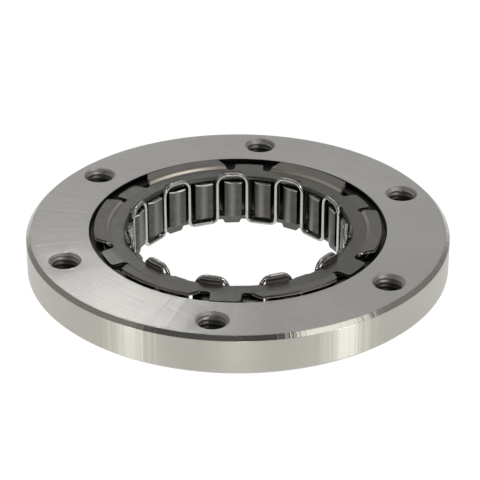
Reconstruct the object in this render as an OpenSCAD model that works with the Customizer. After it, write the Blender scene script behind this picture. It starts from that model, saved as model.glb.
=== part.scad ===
// Starter clutch of a motorcycle engine: a one-way sprag clutch.
// A bored outer ring bolts to the flywheel. A pressed steel cage stands in its recess and spaces
// the sprags, and one endless zigzag wire spring leans them all against the starter gear's hub.
// The origin is the centre of the collar's underside, and +Z points out of the bolting face.

/* [Outer ring] */
// Outside diameter of the rim
ring_d = 115; // [112:0.5:130]
// Height of the rim
rim_height = 11; // [9:0.25:14]
// Bevel on the rim's upper outside edge
rim_bevel = 1.15; // [0.4:0.05:2]
// Bevel on the rim's lower outside edge
rim_foot_bevel = 0.75; // [0.2:0.05:1.5]
// Thickness of the collar's wall round the raceway
collar_wall = 6.79; // [4:0.01:7.2]
// Height of the collar below the rim
collar_height = 5; // [4.8:0.1:8]
// Edge break of the collar, the raceway and the recess
edge_break = 0.5; // [0.2:0.05:0.7]
// Radial gap between the cage's raised lips and the recess wall
lip_gap = 1.2; // [0.4:0.1:1.6]

/* [Bolt holes] */
// Number of tapped holes for the flywheel bolts
bolt_count = 6; // [4:1:8]
// How far the bolt circle lies outside the middle of the bolting face
bolt_outset = 0.6; // [0:0.1:1.5]
// Tapping bore of the M8 thread
bolt_bore_d = 6.8; // [5:0.1:7.4]
// Mouth diameter of the countersink at both ends of each hole
countersink_d = 9; // [8:0.1:10]
// Angle of the first hole from +X
bolt_phase = 22.5; // [0:0.5:59]

/* [Sprags] */
// Diameter of the starter gear's hub that the sprags grip
hub_d = 57.76; // [57:0.02:58.4]
// Radial space between the hub and the raceway
sprag_space = 8.33; // [8.2:0.01:8.8]
// Number of sprags, always even because the spring loops over every second one
sprag_count = 22; // [18:2:22]
// Angle of the first sprag from +X
sprag_phase = 93.2; // [0:0.1:180]
// Length of a sprag along the axis
sprag_length = 11.1; // [10:0.1:11.3]
// Width of the pad that grips the hub
pad_width = 6; // [5:0.1:6.1]
// Width of the head that grips the raceway
head_width = 7.8; // [7.4:0.1:8.2]
// Radius of the cam curve on the pad
pad_cam_r = 6; // [5.5:0.1:8]
// Radius of the cam curve on the head
head_cam_r = 6.5; // [5.5:0.1:7.5]
// Sideways offset of the pad's cam centre, which makes the sprag wedge
pad_cam_offset = 1.35; // [0.8:0.05:1.4]
// Sideways offset of the head's cam centre, to the other side
head_cam_offset = 1; // [0.6:0.05:1.3]
// How far the unloaded pads stand inside the hub's surface
grip_reach = 0.16; // [0.05:0.01:0.2]
// Running clearance between the unloaded heads and the raceway
race_clearance = 0.08; // [0.04:0.01:0.3]
// Depth of the waist on each flank of a sprag
waist_depth = 0.8; // [0.3:0.1:1]
// Bevel on the end edges of a sprag's cams
sprag_bevel = 0.4; // [0.2:0.05:0.6]

/* [Cage] */
// Thickness of the cage's steel sheet
sheet = 0.8; // [0.6:0.05:0.9]
// Depth of the flange's upper face below the rim's face
flange_depth = 0.6; // [0.5:0.05:0.8]
// Gap between the flange's raised feet and the floor of the recess
seat_gap = 0.1; // [0.05:0.01:0.2]
// Radial width of the cage's raised lips, from the crease to the edge
lip_width = 3.9; // [3.4:0.1:4.2]
// Height of a lip's edge above the flange
lip_rise = 1.3; // [0.7:0.05:1.5]
// Radial length of the flat feet between the lips, from the crease to the edge
foot_length = 3.6; // [3:0.1:3.8]
// Width of a flat foot
foot_width = 8.3; // [7:0.1:9]
// Drop of a foot's edge below the flange
foot_drop = 0.2; // [0.1:0.05:0.3]
// Number of lips, with one flat foot between each two
lip_count = 6; // [4:1:6]
// Angle of the first flat foot from +X
foot_phase = 25; // [0:0.5:59]
// Radius of the crease where the lips turn up
crease_r = 35.2; // [34.6:0.05:36.4]
// Radius at the root of the slits beside a foot
slit_r = 1.2; // [0.8:0.05:1.3]
// Angle by which a lip's end leans away from its slit
lip_lean = 42; // [30:1:46]
// Corner rounding of lips and feet
corner_r = 1; // [0.6:0.05:1.1]
// Width of a bar between two windows
bar_width = 1.6; // [1.4:0.05:1.9]
// Height of the fold that is left between the flange and the windows
fold_height = 0.15; // [0.1:0.05:0.3]
// Axial gap between a sprag's ends and its window
window_gap = 0.15; // [0.1:0.05:0.3]
// Height of the solid band under the windows
band_height = 1.4; // [1.2:0.05:1.6]
// Height of the tongues that hang below the band
tongue_height = 1.2; // [1:0.05:1.45]
// Width of a tongue where it leaves the band
tongue_root = 5.5; // [4.8:0.1:6]
// Width of a tongue at its tip
tongue_tip = 4.4; // [3.6:0.1:4.7]
// Height of the lugs above the flange, one behind each arch of the spring
lug_height = 1.35; // [1.2:0.05:1.6]
// Width of a lug
lug_width = 6.2; // [3.5:0.1:6.4]
// Corner rounding of a lug
lug_corner_r = 1; // [0.4:0.1:1.2]

/* [Energizing spring] */
// Diameter of the spring wire
wire_d = 1.1; // [0.9:0.02:1.14]
// Gap between the wire's legs and the bars of the cage
wire_gap = 0.1; // [0.08:0.01:0.2]
// Height of the wire's axis above the rim's face at the top of an arch
arch_rise = 0.6; // [0.3:0.05:1.2]
// Bend radius at the top of an arch
arch_r = 3; // [2:0.1:3.6]
// Depth of the wire's axis below the band's edge at the bottom of a loop
loop_drop = 0.1; // [0.05:0.05:0.4]
// Bend radius at the bottom of a loop
loop_r = 1.7; // [1.2:0.1:2.6]

/* [Hidden] */
sprag_ids = [for (i = [1 : sprag_count]) i];
function sprag_name(i) = str("sprag_", i < 10 ? "0" : "", i);
fine = 96;
overcut = 1;

// Heights above the collar's underside
rim_z = collar_height;
face_z = collar_height + rim_height;
flange_top_z = face_z - flange_depth;
flange_low_z = flange_top_z - sheet;
recess_z = flange_low_z - foot_drop - seat_gap;
window_top_z = flange_low_z - fold_height;
sprag_top_z = window_top_z - window_gap;
sprag_low_z = sprag_top_z - sprag_length;
window_low_z = sprag_low_z - window_gap;
band_low_z = window_low_z - band_height;
tongue_low_z = band_low_z - tongue_height;
arch_z = face_z + arch_rise;
loop_z = band_low_z - loop_drop;

// Radii of the clutch, from the hub outwards
hub_r = hub_d / 2;
race_r = hub_r + sprag_space;
pivot_r = hub_r + sprag_space / 2;
pad_reach_r = hub_r - grip_reach;
head_reach_r = race_r - race_clearance;
lip_r = crease_r + lip_width;
foot_r = crease_r + foot_length;
recess_r = lip_r + lip_gap;
collar_r = race_r + collar_wall;
bolt_circle_r = (recess_r + ring_d / 2) / 2 + bolt_outset;
pitch = 360 / sprag_count;

// The spring's legs stand between the sprags, and each arch or loop is flat between two legs
wall_in_r = pivot_r - 2.7;
wall_out_r = wall_in_r + sheet;
leg_r = wall_in_r - wire_gap - wire_d / 2;
leg_half_span = leg_r * sin(pitch / 2);
leg_plane_y = leg_r * cos(pitch / 2);
window_width = 2 * wall_out_r * sin(pitch / 2) - bar_width;
draw_r = 1;

// Cam centres of a sprag, measured from its pivot
pad_cam_y = sqrt(pow(pad_reach_r + pad_cam_r, 2) - pow(pad_cam_offset, 2)) - pivot_r;
head_cam_y = sqrt(pow(head_reach_r - head_cam_r, 2) - pow(head_cam_offset, 2)) - pivot_r;

// Slits beside each foot: root centre, and where the leaning end of the lip begins
slit_x = foot_width / 2 + slit_r;
slit_root_r = crease_r - 0.35;
slit_y = sqrt(pow(slit_root_r + slit_r, 2) - pow(slit_x, 2));
lip_start = [slit_x + slit_r * cos(lip_lean), slit_y - slit_r * sin(lip_lean)];
lip_run = [sin(lip_lean), cos(lip_lean)];
// Centre of the rounding where a lip's end meets its edge: on a circle and on a line
lip_base = lip_start + corner_r * [cos(lip_lean), -sin(lip_lean)];
lip_dot = lip_base * lip_run;
lip_gone = pow(lip_r - corner_r, 2) - lip_base * lip_base;
lip_corner = lip_base + (sqrt(lip_dot * lip_dot + lip_gone) - lip_dot) * lip_run;
foot_corner_x = foot_width / 2 - corner_r;
foot_corner = [foot_corner_x, sqrt(pow(foot_r - corner_r, 2) - pow(foot_corner_x, 2))];

// Repeats its children around the axis, the first one standing at the angle start.
module around(count, start) {
    for (i = [0 : count - 1])
        rotate(start - 90 + i * 360 / count)
            children();
}

// Sheet metal in section: the line of its upper face, given a thickness downwards.
module sheet_section(line) {
    below = [for (i = [len(line) - 1 : -1 : 0]) line[i] - [0, sheet]];
    polygon(concat(line, below));
}

// What a rounding takes off a corner, for a rounding centre and its two tangent directions.
module corner_waste(centre, one, other) {
    a = one / norm(one);
    b = other / norm(other);
    tip = 1.05 * corner_r * (a + b) / (1 + a * b);
    translate(centre)
        difference() {
            polygon([[0, 0], corner_r * a, tip, corner_r * b]);
            circle(corner_r, $fn = fine);
        }
}

// Bored steel ring: rim with bolt holes, recess for the cage, raceway and collar.
module outer_ring() {
    color("#9a9a98")
        difference() {
            rotate_extrude($fn = fine)
                ring_section();
            around(bolt_count, bolt_phase)
                translate([0, bolt_circle_r, rim_z])
                    tapped_hole();
        }
}

module ring_section() {
    polygon([
        [race_r + edge_break, 0],
        [collar_r - edge_break, 0],
        [collar_r, edge_break],
        [collar_r, rim_z],
        [ring_d / 2 - rim_foot_bevel, rim_z],
        [ring_d / 2, rim_z + rim_foot_bevel],
        [ring_d / 2, face_z - rim_bevel],
        [ring_d / 2 - rim_bevel, face_z],
        [recess_r + edge_break / 2, face_z],
        [recess_r, face_z - edge_break / 2],
        [recess_r, recess_z],
        [race_r + edge_break, recess_z],
        [race_r, recess_z - edge_break],
        [race_r, edge_break],
    ]);
}

// Through hole with a 90 degree countersink at both ends.
module tapped_hole() {
    sink = (countersink_d - bolt_bore_d) / 2;
    past = 0.2;
    translate([0, 0, -overcut])
        cylinder(h = rim_height + 2 * overcut, d = bolt_bore_d, $fn = fine);
    translate([0, 0, rim_height - sink])
        cylinder(h = sink + past, r1 = bolt_bore_d / 2, r2 = countersink_d / 2 + past, $fn = fine);
    translate([0, 0, -past])
        cylinder(h = sink + past, r1 = countersink_d / 2 + past, r2 = bolt_bore_d / 2, $fn = fine);
}

// Drawn sheet cage: flange with lips, feet and lugs, windowed wall, band and tongues.
module cage() {
    color("#6a6864")
        difference() {
            union() {
                rotate_extrude($fn = fine)
                    wall_section();
                cage_lips();
                cage_feet();
                cage_lugs();
            }
            around(lip_count, foot_phase)
                slits();
            around(sprag_count, sprag_phase)
                window();
            around(sprag_count, sprag_phase + pitch / 2)
                tongue_gap();
        }
}

// Flange and wall in section, with the rounding that deep drawing leaves between them.
module wall_section() {
    difference() {
        union() {
            translate([wall_in_r, tongue_low_z])
                square([sheet, flange_top_z - tongue_low_z]);
            translate([wall_in_r, flange_low_z])
                square([crease_r - wall_in_r, sheet]);
        }
        translate([wall_in_r + draw_r, flange_top_z - draw_r])
            difference() {
                translate([-draw_r - overcut, 0])
                    square([draw_r + overcut, draw_r + overcut]);
                circle(draw_r, $fn = fine);
            }
    }
}

// Lips: the flange's edge turned up, except beside the feet.
module cage_lips() {
    bend = [crease_r + 0.7, flange_top_z + 0.65 * lip_rise];
    difference() {
        rotate_extrude($fn = fine)
            sheet_section([[crease_r, flange_top_z], bend, [lip_r, flange_top_z + lip_rise]]);
        around(lip_count, foot_phase)
            translate([-slit_x, crease_r / 2, 0])
                cube([2 * slit_x, crease_r, face_z + 2 * lip_rise]);
    }
}

// Feet: flat ears that lie on the floor of the recess.
module cage_feet() {
    intersection() {
        rotate_extrude($fn = fine)
            sheet_section([[crease_r, flange_top_z], [foot_r, flange_top_z - foot_drop]]);
        around(lip_count, foot_phase)
            translate([-slit_x, crease_r / 2, 0])
                cube([2 * slit_x, crease_r, face_z]);
    }
}

// Lugs: the wall carried on above the flange, one behind each arch of the spring.
module cage_lugs() {
    intersection() {
        rotate_extrude($fn = fine)
            translate([wall_in_r, flange_low_z])
                square([sheet, sheet + lug_height + overcut]);
        around(sprag_count / 2, sprag_phase)
            translate([0, wall_out_r + overcut, flange_top_z])
                rotate([90, 0, 0])
                    linear_extrude(sheet + 2 * overcut)
                        lug_outline();
    }
}

module lug_outline() {
    root = sheet + overcut;
    corner_x = lug_width / 2 - lug_corner_r;
    translate([-lug_width / 2, -root])
        square([lug_width, root + lug_height - lug_corner_r]);
    translate([-corner_x, -root])
        square([2 * corner_x, root + lug_height]);
    for (side = [-1, 1])
        translate([side * corner_x, lug_height - lug_corner_r])
            circle(lug_corner_r, $fn = fine);
}

// The two slits beside a foot, and the rounded corners on both sides of each.
module slits() {
    far = lip_r + 3;
    translate([0, 0, flange_low_z - lip_rise])
        linear_extrude(4 * lip_rise)
            for (side = [0, 1])
                mirror([side, 0]) {
                    translate([slit_x, slit_y])
                        circle(slit_r, $fn = fine);
                    polygon([
                        [foot_width / 2, slit_y],
                        [foot_width / 2, far],
                        lip_start + (far - lip_start.y) / lip_run.y * lip_run,
                        lip_start,
                        [slit_x, slit_y],
                    ]);
                    corner_waste(lip_corner, lip_corner, [-cos(lip_lean), sin(lip_lean)]);
                    corner_waste(foot_corner, foot_corner, [1, 0]);
                }
}

// Window that one sprag reaches through.
module window() {
    translate([-window_width / 2, wall_in_r - overcut, window_low_z])
        cube([window_width, sheet + 2 * overcut, window_top_z - window_low_z]);
}

// Gap between two tongues, wider at the bottom.
module tongue_gap() {
    step = 2 * wall_in_r * sin(pitch / 2);
    top = (step - tongue_root) / 2;
    bottom = (step - tongue_tip) / 2;
    slope = (bottom - top) / tongue_height;
    translate([0, wall_out_r + overcut, band_low_z])
        rotate([90, 0, 0])
            linear_extrude(sheet + 2 * overcut)
                polygon([
                    [-top, 0],
                    [top, 0],
                    [bottom + slope * overcut, -tongue_height - overcut],
                    [-bottom - slope * overcut, -tongue_height - overcut],
                ]);
}

// Endless zigzag of round wire: arches over the odd sprags, loops under the even ones.
// A loop is drawn a hair thinner, so that its ends plug into the legs of the arches beside it.
module energizing_spring() {
    plug_length = 1;
    plug_stand = 0.6;
    plug_ease = 0.02;
    leg_length = arch_z - arch_r - loop_z - loop_r - plug_stand;
    color("#b8b6b0")
        union() {
            around(sprag_count / 2, sprag_phase)
                translate([0, leg_plane_y, arch_z])
                    wire_turn(arch_r, leg_length, wire_d);
            around(sprag_count / 2, sprag_phase + pitch)
                translate([0, leg_plane_y, loop_z])
                    mirror([0, 0, 1])
                        wire_turn(loop_r, plug_stand + plug_length, wire_d - plug_ease);
        }
}

// One flat turn of wire and its two legs: a straight, and a bend and a leg at each end.
module wire_turn(bend_r, leg_length, d) {
    straight = 2 * (leg_half_span - bend_r);
    translate([-straight / 2, 0, 0])
        rotate([0, 90, 0])
            cylinder(h = straight, d = d, $fn = fine);
    for (side = [0, 1])
        mirror([side, 0, 0]) {
            translate([straight / 2, 0, -bend_r])
                rotate([90, 0, 0])
                    rotate_extrude(angle = 90, $fn = fine)
                        translate([bend_r, 0])
                            circle(d = d, $fn = 32);
            translate([leg_half_span, 0, -bend_r - leg_length])
                cylinder(h = leg_length, d = d, $fn = fine);
        }
}

// One sprag: a drawn steel strut with a cam curve at each end and a waist in the window.
module sprag(i) {
    color("#50504c")
        rotate(sprag_phase - 90 + (i - 1) * pitch)
            translate([0, pivot_r, sprag_low_z])
                difference() {
                    linear_extrude(sprag_length)
                        sprag_section();
                    translate([0, -pivot_r, 0])
                        end_bevels();
                }
}

module sprag_section() {
    waist_r = 2.6;
    waist_y = wall_out_r - pivot_r;
    difference() {
        intersection() {
            translate([pad_cam_offset, pad_cam_y])
                circle(pad_cam_r, $fn = fine);
            translate([-head_cam_offset, head_cam_y])
                circle(head_cam_r, $fn = fine);
            polygon([
                [-pad_width / 2, -pivot_r],
                [pad_width / 2, -pivot_r],
                [pad_width / 2, waist_y],
                [head_width / 2, waist_y + 1.2],
                [head_width / 2, pivot_r],
                [-head_width / 2, pivot_r],
                [-head_width / 2, waist_y + 1.2],
                [-pad_width / 2, waist_y],
            ]);
        }
        for (side = [-1, 1])
            translate([side * (pad_width / 2 - waist_depth + waist_r), waist_y])
                circle(waist_r, $fn = fine);
    }
}

// Bevels turned on the end edges of all the pads and heads.
module end_bevels() {
    rotate_extrude($fn = fine)
        for (end = [0, 1])
            translate([0, end * sprag_length])
                mirror([0, end])
                    union() {
                        polygon([
                            [pad_reach_r - overcut, -overcut],
                            [pad_reach_r + sprag_bevel + overcut, -overcut],
                            [pad_reach_r - overcut, sprag_bevel + overcut],
                        ]);
                        polygon([
                            [head_reach_r + overcut, -overcut],
                            [head_reach_r - sprag_bevel - overcut, -overcut],
                            [head_reach_r + overcut, sprag_bevel + overcut],
                        ]);
                    }
}

outer_ring();
cage();
energizing_spring();
for (i = sprag_ids)
    sprag(i);
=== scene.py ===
import math

import bmesh
import bpy
import numpy as np
from mathutils import Matrix, Vector
from mathutils.geometry import delaunay_2d_cdt


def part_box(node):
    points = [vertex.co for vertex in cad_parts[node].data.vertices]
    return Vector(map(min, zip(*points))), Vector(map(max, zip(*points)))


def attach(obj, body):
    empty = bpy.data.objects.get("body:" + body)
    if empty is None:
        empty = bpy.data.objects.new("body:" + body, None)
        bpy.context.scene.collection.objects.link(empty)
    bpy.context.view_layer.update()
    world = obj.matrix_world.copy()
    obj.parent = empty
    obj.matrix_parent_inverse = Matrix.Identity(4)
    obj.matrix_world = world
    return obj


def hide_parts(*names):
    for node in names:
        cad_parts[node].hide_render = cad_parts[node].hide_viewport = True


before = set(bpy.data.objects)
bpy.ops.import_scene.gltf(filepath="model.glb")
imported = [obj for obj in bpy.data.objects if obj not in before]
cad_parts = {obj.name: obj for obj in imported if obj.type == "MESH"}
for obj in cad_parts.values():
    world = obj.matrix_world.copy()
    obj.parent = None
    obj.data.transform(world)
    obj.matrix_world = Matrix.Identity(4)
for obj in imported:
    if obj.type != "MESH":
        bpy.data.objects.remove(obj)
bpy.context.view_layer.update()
scene = bpy.context.scene
scene.view_settings.view_transform = "Standard"

# Camera
# The photograph was taken from the front, 28.8 degrees above the bolting face, with a long lens.
# Its place and lens were solved from the six bolt holes and the ring's outlines.
FACE_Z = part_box("outer_ring")[1][2]
CAMERA_ELEVATION = math.radians(28.80)
CAMERA_DISTANCE = 0.5693
FOCAL_PIXELS = 2092.2
PHOTO_PIXELS = 480
SENSOR_MM = 36
NEAREST_SEEN = 0.01
# The pixel of the photograph in which the lens axis meets the centre of the bolting face
AXIS_PIXEL = (237.92, 226.08)

camera_data = bpy.data.cameras.new("camera")
camera_data.sensor_fit = "HORIZONTAL"
camera_data.sensor_width = SENSOR_MM
camera_data.lens = FOCAL_PIXELS / PHOTO_PIXELS * SENSOR_MM
camera_data.shift_x = (PHOTO_PIXELS / 2 - AXIS_PIXEL[0]) / PHOTO_PIXELS
camera_data.shift_y = (AXIS_PIXEL[1] - PHOTO_PIXELS / 2) / PHOTO_PIXELS
camera_data.clip_start = NEAREST_SEEN
camera = bpy.data.objects.new("camera", camera_data)
scene.collection.objects.link(camera)
camera.location = (
    0,
    -CAMERA_DISTANCE * math.cos(CAMERA_ELEVATION),
    FACE_Z + CAMERA_DISTANCE * math.sin(CAMERA_ELEVATION),
)
camera.rotation_euler = (math.pi / 2 - CAMERA_ELEVATION, 0, 0)
scene.camera = camera


# Studio
# A wide white table top and a pale grey room with soft lamp panels. The camera sees the table and
# the room as white, and the steel mirrors the table, the room, the lamps and one dark board.
def srgb(hex_colour):
    """A hex colour as linear red, green, blue and alpha."""
    channels = [int(hex_colour[i:i + 2], 16) / 255 for i in (1, 3, 5)]
    linear = [c / 12.92 if c <= 0.04045 else ((c + 0.055) / 1.055) ** 2.4 for c in channels]
    return (*linear, 1)


def add_node(tree, kind, settings=None, inputs=None, links=None):
    """Adds one node; inputs take values or hex colours, links take sockets or whole nodes."""
    node = tree.nodes.new(kind)
    for name, value in (settings or {}).items():
        setattr(node, name, value)
    for key, value in (inputs or {}).items():
        node.inputs[key].default_value = srgb(value) if isinstance(value, str) else value
    for key, source in (links or {}).items():
        if isinstance(source, bpy.types.Node):
            source = source.outputs[0]
        tree.links.new(source, node.inputs[key])
    return node


def new_material(name):
    """A material without nodes, and its tree."""
    material = bpy.data.materials.new(name)
    material.use_nodes = True
    material.node_tree.nodes.clear()
    return material, material.node_tree


MULTIPLY = {"operation": "MULTIPLY"}
MULTIPLY_ADD = {"operation": "MULTIPLY_ADD"}
WHITE = "#ffffff"
TABLE_SIZE = 6
TABLE_WHITE = "#dcdcdc"
TABLE_GLOW = 1.05
SEEN_WHITE = 0.97
MIRRORED_WHITE = 0.95
# The table in the shade under the ring: the middle radius and half the width of that band
UNDER_RING = (0.039, 0.0042)


def white_table():
    """White where the camera or the steel sees it, plain paint for shadows, clear from below."""
    material, tree = new_material("white_table")
    rays = add_node(tree, "ShaderNodeLightPath")
    seen = add_node(tree, "ShaderNodeMath", {"operation": "MAXIMUM"}, links={
        0: rays.outputs["Is Camera Ray"], 1: rays.outputs["Is Transmission Ray"],
    })
    mirrored = add_node(tree, "ShaderNodeMath", MULTIPLY, {1: MIRRORED_WHITE}, {
        0: rays.outputs["Is Glossy Ray"],
    })
    glowing = add_node(tree, "ShaderNodeMath", MULTIPLY_ADD, {1: SEEN_WHITE}, {
        0: seen, 2: mirrored,
    })
    place = add_node(tree, "ShaderNodeTexCoord").outputs["Object"]
    from_axis = add_node(tree, "ShaderNodeVectorMath", {"operation": "LENGTH"}, links={0: place})
    under_ring = add_node(
        tree, "ShaderNodeMath", {"operation": "COMPARE"}, {1: UNDER_RING[0], 2: UNDER_RING[1]}, {
            0: from_axis.outputs["Value"],
        },
    )
    bare = add_node(tree, "ShaderNodeMath", {"operation": "SUBTRACT"}, {0: 1}, {1: under_ring})
    share = add_node(tree, "ShaderNodeMath", MULTIPLY, links={0: glowing, 1: bare})
    paint = add_node(tree, "ShaderNodeBsdfDiffuse", inputs={"Color": TABLE_WHITE})
    glow = add_node(tree, "ShaderNodeEmission", inputs={"Color": WHITE, "Strength": TABLE_GLOW})
    from_above = add_node(tree, "ShaderNodeMixShader", links={0: share, 1: paint, 2: glow})
    side = add_node(tree, "ShaderNodeNewGeometry")
    from_below = add_node(tree, "ShaderNodeBsdfTransparent")
    one_way = add_node(tree, "ShaderNodeMixShader", links={
        0: side.outputs["Backfacing"], 1: from_above, 2: from_below,
    })
    add_node(tree, "ShaderNodeOutputMaterial", links={"Surface": one_way})
    return material


def flat_sheet(name, width, depth, material):
    """A rectangle of the studio."""
    x, y = width / 2, depth / 2
    mesh = bpy.data.meshes.new(name)
    mesh.from_pydata([(-x, -y, 0), (x, -y, 0), (x, y, 0), (-x, y, 0)], [], [(0, 1, 2, 3)])
    mesh.materials.append(material)
    sheet = bpy.data.objects.new(name, mesh)
    scene.collection.objects.link(sheet)
    return sheet


table = flat_sheet("table", TABLE_SIZE, TABLE_SIZE, white_table())

ROOM_GREY = "#9c9c9c"
world = bpy.data.worlds.new("studio")
scene.world = world
world.use_nodes = True
room = world.node_tree
room.nodes.clear()
room_rays = add_node(room, "ShaderNodeLightPath")
room_light = add_node(room, "ShaderNodeBackground", inputs={"Color": ROOM_GREY, "Strength": 1})
room_seen = add_node(room, "ShaderNodeBackground", inputs={"Color": WHITE, "Strength": 1})
room_mix = add_node(room, "ShaderNodeMixShader", links={
    0: room_rays.outputs["Is Camera Ray"], 1: room_light, 2: room_seen,
})
add_node(room, "ShaderNodeOutputWorld", links={"Surface": room_mix})


def lamp_panel(name, azimuth, elevation, distance, size, watts, spread=180, aim=(0, 0)):
    """A soft rectangular lamp, placed by compass and height angle, that faces a point."""
    data = bpy.data.lights.new(name, "AREA")
    data.shape = "RECTANGLE"
    data.size, data.size_y = size
    data.energy = watts
    data.spread = math.radians(spread)
    lamp = bpy.data.objects.new(name, data)
    scene.collection.objects.link(lamp)
    a, e = math.radians(azimuth), math.radians(elevation)
    towards = Vector((math.cos(a) * math.cos(e), math.sin(a) * math.cos(e), math.sin(e)))
    target = Vector((*aim, FACE_Z))
    lamp.location = Vector((0, 0, FACE_Z)) + distance * towards
    lamp.rotation_euler = (lamp.location - target).to_track_quat("Z", "Y").to_euler()


# Two narrow lamps draw the fans on the face, and two low ones the bright bands on the side
lamp_panel("left_fan_lamp", 109, 43, 0.8, (0.03, 0.25), 0.0034, 13, (-0.045, -0.035))
lamp_panel("front_fan_lamp", 104, 50, 0.8, (0.03, 0.25), 0.004, 14, (-0.03, -0.045))
lamp_panel("left_low_lamp", 217, -0.7, 0.8, (0.1, 0.01), 1.2)
lamp_panel("right_low_lamp", 323, -0.7, 0.8, (0.1, 0.01), 1.7)
lamp_panel("front_lamp", 270, 11, 0.9, (0.1, 0.06), 0.012, 20, (0, 0.03))
lamp_panel("edge_lamp", 327, 50, 0.8, (0.5, 0.35), 0.9)
lamp_panel("back_lamp", 90, 31, 1.2, (0.6, 0.9), 0.68)
lamp_panel("top_lamp", 90, 80, 1.1, (0.5, 0.4), 0.32)

# A dark board over the front, out of the camera's sight, that the rim's front edge mirrors
BOARD_SIZE = (0.6, 0.26)
BOARD_WAY = Vector((-0.12, -0.45, 0.88)).normalized()
BOARD_DISTANCE = 0.55
BOARD_BLACK = "#161616"
black_cloth, cloth_tree = new_material("black_cloth")
board_paint = add_node(cloth_tree, "ShaderNodeBsdfDiffuse", inputs={"Color": BOARD_BLACK})
add_node(cloth_tree, "ShaderNodeOutputMaterial", links={"Surface": board_paint})
board = flat_sheet("dark_board", *BOARD_SIZE, black_cloth)
board.location = Vector((0, 0, FACE_Z)) + BOARD_DISTANCE * BOARD_WAY
board.rotation_euler = BOARD_WAY.to_track_quat("Z", "Y").to_euler()
board.visible_camera = False


# Outer ring
# A steel forging, turned and bored on a lathe. Six holes are drilled, countersunk and tapped M8 for
# the flywheel bolts. The recess and the raceway are hardened and ground. Sizes are in millimetres.
MM = 0.001
RACE_R = 37.21
COLLAR_R = 44.0
COLLAR_H = 5.0
RIM_R = 57.5
FACE_H = 16.0
RIM_BEVEL = 1.15
FOOT_BEVEL = 0.75
RECESS_R = 40.3
RECESS_H = 14.3
EDGE_BREAK = 0.5
EDGE_ROUND = 0.12
COLLAR_FILLET = 0.3
RECESS_FILLET = 0.25
# Roundings at the mouths of the recess and of the raceway
RECESS_MOUTH = 0.06
RACE_MOUTH = (0.08, 0.1)
BOLTS = 6
BOLT_CIRCLE_R = 49.5
# In degrees from X, as the other phases are
BOLT_PHASE = 22.5
SINK_R = 4.5
THREAD_MINOR = 3.4
THREAD_MAJOR = 4.0
THREAD_PITCH = 1.25
THREAD_FLANK = 1.25
THREAD_CREST = 0.06
TURNS = 288
HOLE_TURNS = 64
HOLE_ROWS = 88
# A triangle of the face is steel if its centre lies farther out than this share of the hole
HOLE_SHARE = 0.998
# Points that lie nearer than this are welded
WELD = 0.002


def rounded(corners, radius, steps=4):
    """A closed outline in mm with rounded corners; a corner may give its own radius third."""
    outline = []
    for i, corner in enumerate(corners):
        here = Vector(corner[:2])
        back = (Vector(corners[i - 1][:2]) - here).normalized()
        ahead = (Vector(corners[(i + 1) % len(corners)][:2]) - here).normalized()
        own = corner[2] if len(corner) > 2 else radius
        half = back.angle(ahead) / 2
        centre = here + (back + ahead).normalized() * own / math.sin(half)
        first = here + back * own / math.tan(half) - centre
        last = here + ahead * own / math.tan(half) - centre
        sweep = math.pi - 2 * half
        for k in range(steps + 1):
            share = k / steps
            arm = first * math.sin((1 - share) * sweep) + last * math.sin(share * sweep)
            outline.append(centre + arm / math.sin(sweep))
    return outline


def polar(radius, angle, height=0.0):
    """A point from its distance to the axis, its angle and its height."""
    return Vector((radius * math.cos(angle), radius * math.sin(angle), height))


def circle_points(count, radius, centre=(0, 0), phase=0.0):
    """Flat points at even steps on a circle."""
    steps = [phase + 2 * math.pi * k / count for k in range(count)]
    return [Vector(centre) + Vector((radius * math.cos(a), radius * math.sin(a))) for a in steps]


def soften(mesh):
    """Welds and closes a mesh, turns its faces outwards, and weights its normals by face area."""
    work = bmesh.new()
    work.from_mesh(mesh)
    bmesh.ops.remove_doubles(work, verts=work.verts, dist=WELD * MM)
    bmesh.ops.recalc_face_normals(work, faces=work.faces)
    for face in work.faces:
        face.smooth = True
    work.to_mesh(mesh)
    normals = []
    for vert in work.verts:
        total = sum((face.normal * face.calc_area() for face in vert.link_faces), Vector())
        normals.append(total.normalized() if total.length else Vector((0, 0, 1)))
    work.free()
    mesh.normals_split_custom_set_from_vertices(normals)


def mesh_of(name, points, faces):
    """A mesh in metres from points in mm."""
    mesh = bpy.data.meshes.new(name)
    mesh.from_pydata([MM * Vector(p) for p in points], [], faces)
    return mesh


def flat_filling(loops, keep):
    """Triangles between loops of flat points; keep says whether a triangle's centre is steel."""
    points = [p for loop in loops for p in loop]
    edges, start = [], 0
    for loop in loops:
        edges += [(start + k, start + (k + 1) % len(loop)) for k in range(len(loop))]
        start += len(loop)
    points, _, faces, *_ = delaunay_2d_cdt(points, edges, [], 0, 1e-6)
    kept = [f for f in faces if keep(sum((points[v] for v in f), Vector((0, 0))) / 3)]
    return points, kept


def lathe(outline, gaps):
    """Points and faces of a turned outline; the segments that start at the gaps stay open."""
    count = len(outline)
    points = [polar(r, 2 * math.pi * k / TURNS, z) for k in range(TURNS) for r, z in outline]
    faces = []
    for k in range(TURNS):
        a, b = k * count, (k + 1) % TURNS * count
        for i in range(count):
            if i not in gaps:
                j = (i + 1) % count
                faces.append((a + i, b + i, b + j, a + j))
    return points, faces


def band_faces(rows, count):
    """Faces between rows of points, each row closed on itself."""
    return [
        (row + k, row + (k + 1) % count, row + count + (k + 1) % count, row + count + k)
        for row in range(0, rows * count, count) for k in range(count)
    ]


bolt_angles = [math.radians(BOLT_PHASE + 360 / BOLTS * k) for k in range(BOLTS)]
bolt_centres = [polar(BOLT_CIRCLE_R, a).to_2d() for a in bolt_angles]


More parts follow.
